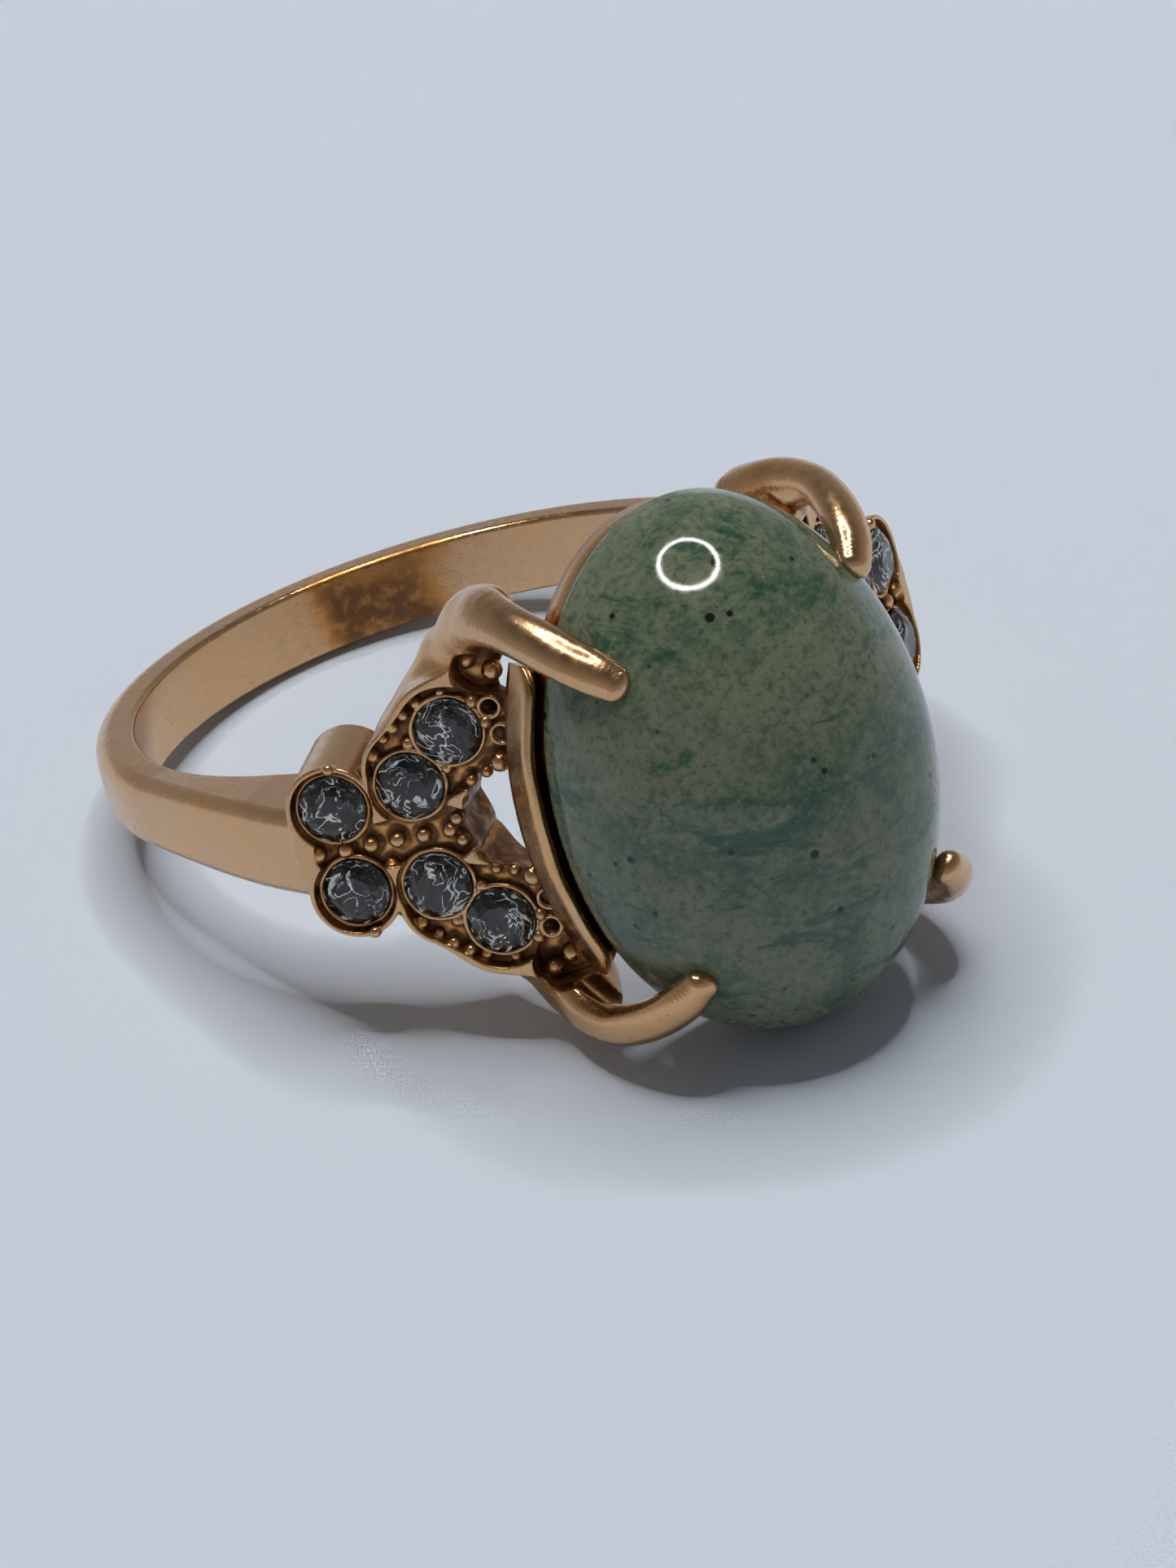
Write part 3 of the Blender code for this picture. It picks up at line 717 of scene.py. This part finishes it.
def wall_section(turn):
    """The side wall at one turn, with an uneven round lip that slopes down at the wall's ends."""
    along = abs(STONE_LENGTH / 2.0 * math.sin(turn))
    fall = min(1.0, max(0.0, (along - WALL_END + WALL_FALL) / WALL_FALL)) ** 2
    swing = math.sin(7.0 * turn + 0.6) + 0.7 * math.sin(13.0 * turn + 2.0)
    lean = 0.022 * (swing + 0.4 * math.sin(29.0 * turn))
    rise = math.sin(5.0 * turn + 1.0) + 0.6 * math.sin(17.0 * turn)
    top = GALLERY_TOP + 0.03 * rise - fall * (GALLERY_HEIGHT - WALL_FOOT)
    lip = GALLERY_WALL / 2.0
    outer, shoulder, low = STONE_GAP + GALLERY_WALL, top - lip, GALLERY_BOTTOM
    section = []
    foot = low + EDGE_SOFT
    for share in np.linspace(0.0, 1.0, 7)[:-1]:
        section.append((outer + lean * share, foot + share * (shoulder - foot)))
    for turned in np.radians(np.linspace(0.0, 180.0, 9)):
        out = STONE_GAP + lip + lean + lip * math.cos(turned)
        section.append((out, shoulder + lip * math.sin(turned)))
    section.append((STONE_GAP, min(shoulder - 0.02, STONE_BACK - STONE_GAP)))
    section += [(-LEDGE_INSET, low + 0.2), (-LEDGE_INSET, low), (outer - EDGE_SOFT, low)]
    return section


def ledge_section():
    """The flat ring under the stone, with softened edges."""
    high, low, soft = STONE_BACK - STONE_GAP, GALLERY_BOTTOM, EDGE_SOFT
    outer, inner = -LEDGE_INSET, -LEDGE_INSET - LEDGE_WIDTH
    return [(outer, low + soft), (outer, high - soft), (outer - soft, high), (inner + soft, high),
            (inner, high - soft), (inner, low + soft), (inner + soft, low), (outer - soft, low)]


def make_gallery(material):
    """The ledge under the stone, and the thin wall at each side of it."""
    shape = bmesh.new()
    turns = np.linspace(0.0, 2.0 * math.pi, 181)[:-1]
    ledge = [oval_ring(shape, turn, ledge_section()) for turn in turns]
    bridge(shape, [*ledge, ledge[0]])
    limit = math.asin(WALL_END / (STONE_LENGTH / 2.0 + GALLERY_WALL))
    for middle in (0.0, math.pi):
        turns = np.linspace(middle - limit, middle + limit, 81)
        wall = [oval_ring(shape, turn, wall_section(turn)) for turn in turns]
        bridge(shape, wall)
        shape.faces.new(wall[0])
        shape.faces.new(wall[-1])
    gallery = place_piece("gallery", smoothed(mesh_of("gallery", shape), 50.0), material)
    stands_for(gallery, "rose_gold", "gallery")


# ---------------------------------------------------------------- stones


def make_cabochon(material):
    """The domed oval stone, with its low straight edge and undercut back."""
    profile = [(math.cos(rise), STONE_EDGE_TOP + STONE_DOME * math.sin(rise))
               for rise in np.radians(np.linspace(89.0, 0.0, 60))]
    shrink = 1.0 - STONE_UNDERCUT / (STONE_WIDTH / 2.0)
    profile += [(1.0, STONE_EDGE_TOP - 0.2), (1.0, STONE_BACK + STONE_UNDERCUT + 0.04)]
    profile += [(0.995, STONE_BACK + STONE_UNDERCUT), (shrink + 0.01, STONE_BACK + 0.01)]
    profile += [(shrink, STONE_BACK), (0.5, STONE_BACK)]
    shape = bmesh.new()
    steps = 160
    rings = []
    for share, height in profile:
        ring = []
        for step in range(steps):
            turn = 2.0 * math.pi * step / steps
            x = STONE_WIDTH / 2.0 * share * math.cos(turn)
            y = STONE_LENGTH / 2.0 * share * math.sin(turn)
            ring.append(shape.verts.new((x, y, height)))
        rings.append(ring)
    for ring, following in zip(rings, rings[1:]):
        for i in range(steps):
            j = (i + 1) % steps
            shape.faces.new((ring[j], ring[i], following[i], following[j]))
    for ring, height in ((rings[0], STONE_EDGE_TOP + STONE_DOME), (rings[-1], STONE_BACK)):
        middle = shape.verts.new((0.0, 0.0, height))
        for i in range(steps):
            shape.faces.new((ring[i], ring[(i + 1) % steps], middle))
    stone = place_piece("cabochon", smoothed(mesh_of("cabochon", shape), 40.0), material)
    stands_for(stone, "green_stone", "cabochon")


def ring_of(shape, count, radius, height, shift=0.0):
    """Points evenly round a circle, turned by shift of a step."""
    turns = [2.0 * math.pi * (i + shift) / count for i in range(count)]
    return [shape.verts.new((radius * math.cos(t), radius * math.sin(t), height)) for t in turns]


def crystal_mesh():
    """A round brilliant with its girdle at height 0; its lower facets take the second material."""
    shape = bmesh.new()
    radius = CRYSTAL_DIAMETER / 2.0
    half_girdle = CRYSTAL_GIRDLE / 2.0
    table = ring_of(shape, 8, CRYSTAL_TABLE / 2.0, CRYSTAL_CROWN)
    kites = ring_of(shape, 8, 0.80 * radius, 0.62 * CRYSTAL_CROWN, 0.5)
    upper = ring_of(shape, 16, radius, half_girdle)
    lower = ring_of(shape, 16, radius, -half_girdle)
    waist = ring_of(shape, 8, 0.55 * radius, -0.40 * CRYSTAL_DEPTH, 0.5)
    culet = shape.verts.new((0.0, 0.0, -CRYSTAL_DEPTH))
    shape.faces.new(table)
    foil = []
    for i in range(8):
        j = (i + 1) % 8
        k = 2 * i
        shape.faces.new((table[i], kites[i], table[j]))
        shape.faces.new((table[i], kites[i - 1], upper[k]))
        shape.faces.new((table[i], upper[k], kites[i]))
        shape.faces.new((kites[i], upper[k], upper[k + 1]))
        shape.faces.new((kites[i], upper[k + 1], upper[(k + 2) % 16]))
        foil.append(shape.faces.new((lower[k], lower[k + 1], waist[i])))
        foil.append(shape.faces.new((lower[k + 1], lower[(k + 2) % 16], waist[i])))
        foil.append(shape.faces.new((lower[k], waist[i], culet, waist[i - 1])))
    for i in range(16):
        j = (i + 1) % 16
        shape.faces.new((upper[i], upper[j], lower[j], lower[i]))
    for face in foil:
        face.material_index = 1
    return mesh_of("crystal", shape)


def make_crystals(glass, foil):
    """The twelve crystals, each turned and leaning a little its own way."""
    rng = np.random.default_rng(4)
    brilliant = crystal_mesh()
    rows = {"outer": OUTER, "middle": MIDDLE, "inner": INNER}
    for side, label in ((-1, "left"), (1, "right")):
        for row, (along, finger) in rows.items():
            for level, name in ((1, "upper"), (-1, "lower")):
                outwards = Vector((TILT_SIN * side, 0.0, TILT_COS))
                inwards = Vector((-TILT_COS * side, 0.0, TILT_SIN))
                place = outwards * (FACE_HEIGHT - CRYSTAL_SINK) + inwards * along
                place.y = finger * level
                lean = Vector(rng.normal(0.0, CRYSTAL_LEAN, 3))
                turn = (outwards + lean).to_track_quat("Z", "Y").to_matrix().to_4x4()
                spin = Matrix.Rotation(rng.uniform(0.0, math.pi), 4, "Z")
                mesh = brilliant.copy()
                mesh.transform(POSE @ Matrix.Translation(place) @ turn @ spin)
                node = f"crystal_{label}_{row}_{name}"
                crystal = place_piece(node, mesh, glass, foil)
                stands_for(crystal, "crystal", node)


# ---------------------------------------------------------------- materials


class Nodes:
    """Short calls for building one material's node tree."""

    def __init__(self, name):
        self.material = bpy.data.materials.new(name)
        self.material.use_nodes = True
        self.tree = self.material.node_tree
        self.shader = self.tree.nodes["Principled BSDF"]
        self.place = self.add("ShaderNodeTexCoord").outputs["Object"]

    def add(self, kind, **settings):
        node = self.tree.nodes.new(kind)
        for name, value in settings.items():
            setattr(node, name, value)
        return node

    def link(self, source, target):
        self.tree.links.new(source, target)

    def noise(self, wave, detail=4.0, rough=0.55, distortion=0.0, stretch=None):
        """Noise with features about wave millimetres across."""
        node = self.add("ShaderNodeTexNoise")
        node.inputs["Scale"].default_value = 1.0 / (wave * MM)
        node.inputs["Detail"].default_value = detail
        node.inputs["Roughness"].default_value = rough
        node.inputs["Distortion"].default_value = distortion
        source = self.place
        if stretch:
            mapping = self.add("ShaderNodeMapping")
            mapping.inputs["Rotation"].default_value = stretch[0]
            mapping.inputs["Scale"].default_value = stretch[1]
            self.link(self.place, mapping.inputs["Vector"])
            source = mapping.outputs["Vector"]
        self.link(source, node.inputs["Vector"])
        return node.outputs["Fac"]

    def span(self, source, low, high, first=0.0, last=1.0):
        """The source's low..high spread to first..last and clamped, smoothly."""
        node = self.add("ShaderNodeMapRange", interpolation_type="SMOOTHSTEP")
        self.link(source, node.inputs["Value"])
        names = ("From Min", "From Max", "To Min", "To Max")
        for name, value in zip(names, (low, high, first, last)):
            node.inputs[name].default_value = value
        return node.outputs["Result"]

    def maths(self, kind, first, second):
        """The result of one Math node on two sockets or numbers."""
        node = self.add("ShaderNodeMath", operation=kind)
        for socket, value in zip(node.inputs, (first, second)):
            if isinstance(value, (int, float)):
                socket.default_value = value
            else:
                self.link(value, socket)
        return node.outputs["Value"]

    def mix(self, share, first, second):
        """A colour between two colours, each a triple or a socket."""
        node = self.add("ShaderNodeMix", data_type="RGBA")
        self.link(share, node.inputs["Factor"])
        for name, value in (("A", first), ("B", second)):
            socket = next(s for s in node.inputs if s.name == name and s.type == "RGBA")
            if isinstance(value, tuple):
                socket.default_value = (*value, 1.0)
            else:
                self.link(value, socket)
        return next(s for s in node.outputs if s.type == "RGBA")

    def attribute(self, name):
        return self.add("ShaderNodeAttribute", attribute_name=name).outputs["Fac"]

    def bump(self, source, depth, strength=1.0):
        """Bump of a depth in millimetres."""
        node = self.add("ShaderNodeBump")
        node.inputs["Strength"].default_value = strength
        node.inputs["Distance"].default_value = depth * MM
        self.link(source, node.inputs["Height"])
        self.link(node.outputs["Normal"], self.shader.inputs["Normal"])

    def set(self, **values):
        """The surface's own settings, each a number, a colour or a socket."""
        for name, value in values.items():
            socket = self.shader.inputs[name.replace("_", " ")]
            if isinstance(value, (int, float)):
                socket.default_value = value
            elif isinstance(value, tuple):
                socket.default_value = (*value, 1.0)
            else:
                self.link(value, socket)


def rose_gold():
    """Rose-gold plate: satin and pale where it is worn, warm and grimy in its recesses, where
    painted shade also darkens it.
    """
    n = Nodes("rose_gold_plate")
    patches = n.noise(3.2, 3.0)
    fine = n.noise(0.35, 5.0)
    colour = n.mix(n.span(patches, 0.35, 0.65), (0.69, 0.405, 0.195), (0.65, 0.41, 0.23))
    shade_and_grime_mask = n.attribute("shade_and_grime_mask")
    grime_and_shade = n.maths("MULTIPLY", n.span(shade_and_grime_mask, 0.14, 0.55), n.span(fine, 0.25, 0.60, 0.6, 1.0))
    # Grime and painted shade turn the recesses and the gap between the branches brown, then near
    # black.
    colour = n.mix(n.span(grime_and_shade, 0.0, 0.55), colour, (0.62, 0.29, 0.09))
    colour = n.mix(n.span(grime_and_shade, 0.40, 1.0, 0.0, 0.9), colour, (0.13, 0.055, 0.02))
    scratches = n.noise(0.5, 4.0, stretch=((0.3, 0.5, 0.9), (1.0, 9.0, 9.0)))
    satin = n.span(fine, 0.35, 0.75, 0.17, 0.28)
    rough = n.maths("ADD", satin, n.span(scratches, 0.55, 0.75, 0.0, 0.12))
    rough = n.maths("ADD", rough, n.maths("MULTIPLY", grime_and_shade, 0.20))
    n.set(Base_Color=colour, Metallic=n.span(grime_and_shade, 0.45, 1.0, 1.0, 0.55), Roughness=rough)
    n.bump(n.maths("ADD", n.maths("MULTIPLY", scratches, 0.5), fine), 0.006)
    return n.material


def aventurine():
    """Grey-green quartz: pale cloudy patches, teal streaks on a slant, and black specks."""
    n = Nodes("aventurine")
    cloud = n.noise(3.0, 7.0, 0.68, 0.5)
    streaks = n.noise(2.0, 7.0, 0.70, 0.7, ((0.5, 0.2, 0.7), (0.7, 1.0, 2.2)))
    fibres = n.noise(0.8, 8.0, 0.75, 0.4, ((0.2, 0.6, 0.3), (0.6, 1.0, 3.0)))
    mottle = n.noise(0.55, 7.0, 0.78)
    grains = n.noise(0.20, 5.0, 0.7)
    colour = n.mix(n.span(cloud, 0.36, 0.64), (0.056, 0.100, 0.062), (0.150, 0.176, 0.112))
    colour = n.mix(n.span(mottle, 0.44, 0.60, 0.0, 0.55), colour, (0.165, 0.195, 0.130))
    colour = n.mix(n.span(streaks, 0.52, 0.63, 0.0, 0.85), colour, (0.014, 0.072, 0.040))
    colour = n.mix(n.span(fibres, 0.56, 0.78, 0.0, 0.5), colour, (0.24, 0.275, 0.215))
    colour = n.mix(n.span(grains, 0.30, 0.52, 0.75, 0.0), colour, (0.024, 0.058, 0.036))
    colour = n.mix(n.span(grains, 0.52, 0.70, 0.0, 0.45), colour, (0.21, 0.245, 0.17))
    for wave, low, high in ((1.0, 0.06, 0.12), (2.1, 0.05, 0.075)):
        specks = n.add("ShaderNodeTexVoronoi")
        specks.inputs["Scale"].default_value = 1.0 / (wave * MM)
        n.link(n.place, specks.inputs["Vector"])
        dots = n.span(specks.outputs["Distance"], low, high, 1.0, 0.0)
        colour = n.mix(dots, colour, (0.010, 0.010, 0.009))
    n.set(Base_Color=colour, Roughness=n.span(grains, 0.3, 0.7, 0.06, 0.12), IOR=1.48)
    n.set(Subsurface_Weight=0.2, Subsurface_Scale=0.0006)
    n.shader.inputs["Subsurface Radius"].default_value = (0.6, 1.0, 0.7)
    n.bump(n.maths("ADD", fibres, grains), 0.0015, 0.5)
    return n.material


def crystal_glass():
    """Clear glass, faintly grey and a little smudged."""
    n = Nodes("crystal_glass")
    smudge = n.noise(0.6, 3.0)
    colour = n.mix(n.span(smudge, 0.4, 0.6), (0.80, 0.82, 0.84), (0.94, 0.95, 0.96))
    n.set(Base_Color=colour, Transmission_Weight=1.0, IOR=1.62)
    n.set(Roughness=n.span(smudge, 0.45, 0.8, 0.01, 0.06))
    return n.material


def crystal_foil():
    """The dark foil behind a crystal, pale where its crumpled skin is cracked, with a faint painted
    glow along the cracks.
    """
    n = Nodes("crystal_foil")
    cracks = n.noise(0.55, 1.5, 0.5, 1.0)
    line = n.span(n.maths("ABSOLUTE", n.maths("SUBTRACT", cracks, 0.5), 0.0), 0.0, 0.035, 1.0, 0.0)
    cracks_and_glow = n.maths("MULTIPLY", line, n.span(n.noise(0.5, 2.0), 0.38, 0.52))
    n.set(Base_Color=n.mix(cracks_and_glow, (0.085, 0.080, 0.076), (0.95, 0.96, 0.96)), Roughness=0.12)
    # The cracks also glow white with painted light.
    n.set(Metallic=n.span(cracks_and_glow, 0.1, 0.6, 1.0, 0.2), Emission_Color=(0.92, 0.96, 1.0))
    n.set(Emission_Strength=n.maths("MULTIPLY", cracks_and_glow, 0.22))
    crumple = n.add("ShaderNodeTexVoronoi")
    crumple.inputs["Scale"].default_value = 1.0 / (0.42 * MM)
    n.link(n.place, crumple.inputs["Vector"])
    n.bump(crumple.outputs["Distance"], 0.10)
    return n.material


# ---------------------------------------------------------------- stage


def stage_piece(name, shape, material):
    """An object in the scene from a bmesh in metres, which is used up."""
    mesh = bpy.data.meshes.new(name)
    shape.to_mesh(mesh)
    shape.free()
    mesh.materials.append(material)
    piece = bpy.data.objects.new(name, mesh)
    bpy.context.scene.collection.objects.link(piece)
    return piece


def make_floor():
    """A wide, pale and plain floor."""
    shape = bmesh.new()
    bmesh.ops.create_grid(shape, x_segments=1, y_segments=1, size=1.2)
    n = Nodes("pale_floor")
    n.set(Base_Color=(0.62, 0.70, 0.83), Roughness=0.85)
    floor = stage_piece("floor", shape, n.material)


def make_world():
    """A dim room that is lighter near the horizon than overhead."""
    world = bpy.data.worlds.new("studio")
    world.use_nodes = True
    tree = world.node_tree
    background = tree.nodes["Background"]
    place = tree.nodes.new("ShaderNodeTexCoord")
    split = tree.nodes.new("ShaderNodeSeparateXYZ")
    ramp = tree.nodes.new("ShaderNodeValToRGB")
    tree.links.new(place.outputs["Generated"], split.inputs["Vector"])
    tree.links.new(split.outputs["Z"], ramp.inputs["Fac"])
    tree.links.new(ramp.outputs["Color"], background.inputs["Color"])
    ramp.color_ramp.elements[0].position = 0.0
    ramp.color_ramp.elements[0].color = (0.37, 0.36, 0.355, 1.0)
    ramp.color_ramp.elements[1].position = 0.85
    ramp.color_ramp.elements[1].color = (0.07, 0.07, 0.07, 1.0)
    bpy.context.scene.world = world


def make_lamp():
    """A round tube lamp overhead, whose thin ring shows in the stone."""
    centre = (POSE.to_3x3() @ Vector(LAMP_DIRECTION)).normalized() * LAMP_DISTANCE
    radius = LAMP_DISTANCE * math.tan(math.radians(LAMP_HALF_ANGLE))
    shape = bmesh.new()
    rings = []
    for turn in np.linspace(0.0, 2.0 * math.pi, 97)[:-1]:
        outwards = Vector((math.cos(turn), math.sin(turn), 0.0))
        ring = []
        for around in np.linspace(0.0, 2.0 * math.pi, 9)[:-1]:
            height = Vector((0.0, 0.0, LAMP_TUBE * math.sin(around)))
            place = centre + outwards * (radius + LAMP_TUBE * math.cos(around)) + height
            ring.append(shape.verts.new(place))
        rings.append(ring)
    bridge(shape, [*rings, rings[0]])
    bmesh.ops.recalc_face_normals(shape, faces=shape.faces)
    n = Nodes("lamp_glow")
    n.set(Emission_Color=(1.0, 0.97, 0.92), Emission_Strength=LAMP_STRENGTH)
    lamp = stage_piece("lamp", shape, n.material)


def make_camera():
    """The camera, placed by its position in the ring's axes and the way it looks."""
    back = -Vector(CAMERA_FORWARD)
    turn = Matrix((CAMERA_RIGHT, -Vector(CAMERA_DOWN), back)).transposed().to_4x4()
    data = bpy.data.cameras.new("camera")
    data.sensor_width = 36.0
    data.lens = CAMERA_LENS
    data.clip_start = 0.01
    data.clip_end = 10.0
    camera = bpy.data.objects.new("camera", data)
    bpy.context.scene.collection.objects.link(camera)
    place = POSE @ Matrix.Translation(CAMERA_PLACE) @ turn
    location, rotation, _ = place.decompose()
    camera.matrix_world = Matrix.LocRotScale(location, rotation, None)
    bpy.context.scene.camera = camera


gold = rose_gold()
make_camera()
make_band(gold)
make_gallery(gold)
for side, label in ((-1, "left"), (1, "right")):
    make_shoulder(side, label, gold)
make_cabochon(aventurine())
make_crystals(crystal_glass(), crystal_foil())
make_floor()
make_world()
make_lamp()
bpy.context.scene.view_settings.view_transform = "Standard"
